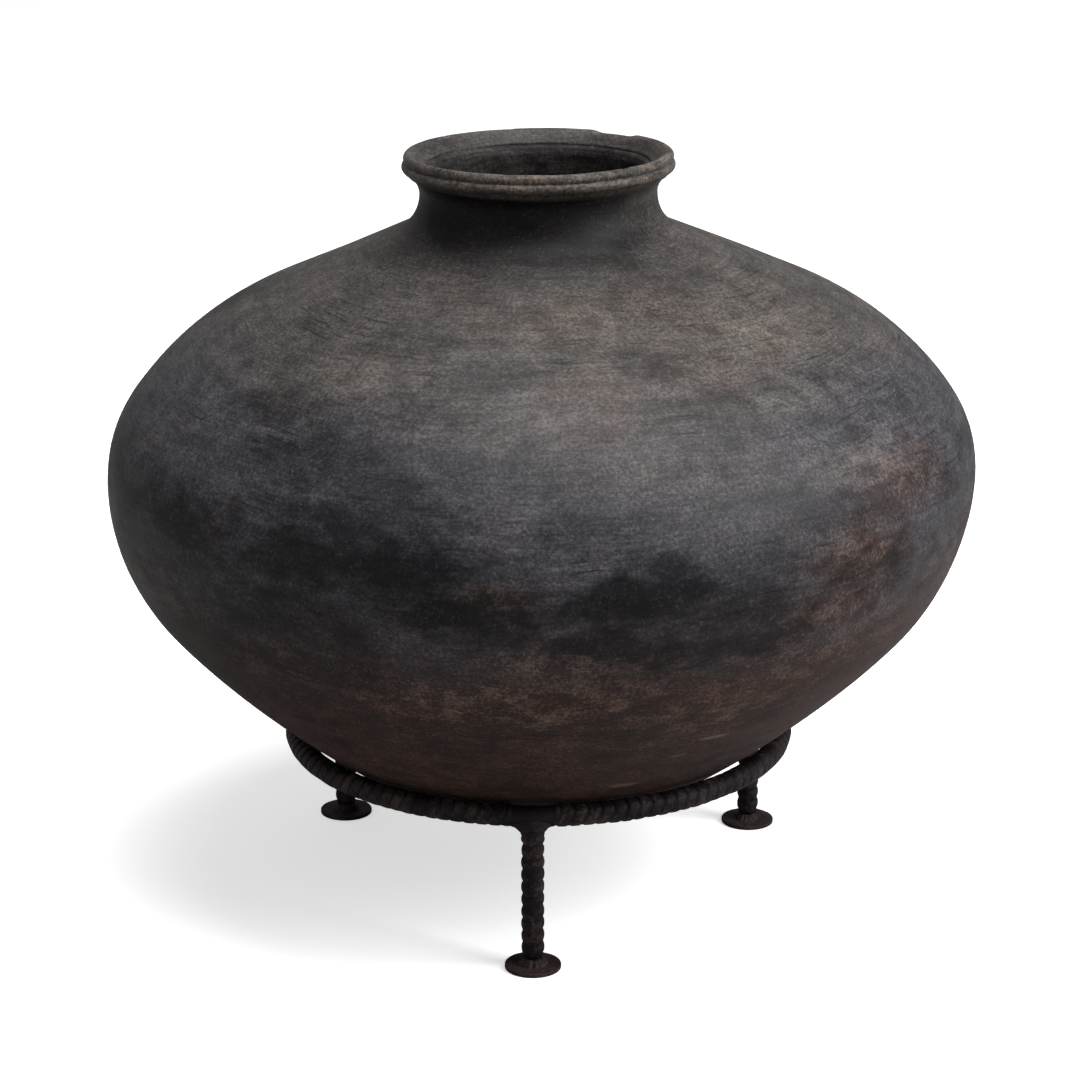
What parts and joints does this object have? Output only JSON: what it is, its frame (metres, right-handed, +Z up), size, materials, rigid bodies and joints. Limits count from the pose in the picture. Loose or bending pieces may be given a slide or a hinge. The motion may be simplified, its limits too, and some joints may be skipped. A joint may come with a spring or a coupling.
{
  "type": "clay pot on a ring stand",
  "caption": "Big round-bottomed smoked clay pot resting in a three-legged ring stand of welded ribbed steel bar.",
  "frame": {"origin": "on the floor, on the shared axis of the pot and of the ring it rests on", "axes": "+Z up along that axis, -Y towards the front leg, +X to the right seen from the front"},
  "size_m": [0.55, 0.55, 0.4795],
  "materials": {
    "smoked_clay": "burnished, unglazed, clouded by smoke",
    "rusted_bar": "hot-rolled ribbed bar, rusted dark brown",
    "rusted_washer": "flat plate, rusted dark brown",
    "weld_bead": "as welded, rusted"
  },
  "bodies": {
    "stand": {"ring": "rusted_bar", "ring_butt_weld": "weld_bead", "leg_front": "rusted_bar", "foot_washer_front": "rusted_washer", "leg_weld_front": "weld_bead", "foot_weld_front": "weld_bead", "leg_right": "rusted_bar", "foot_washer_right": "rusted_washer", "leg_weld_right": "weld_bead", "foot_weld_right": "weld_bead", "leg_left": "rusted_bar", "foot_washer_left": "rusted_washer", "leg_weld_left": "weld_bead", "foot_weld_left": "weld_bead"},
    "pot": {"pot": "smoked_clay"}
  },
  "joints": [
    {"name": "pot_lift", "type": "slide", "parent": "stand", "child": "pot", "axis": [0, 0, 1], "range_m": [0, 0.15]}
  ]
}
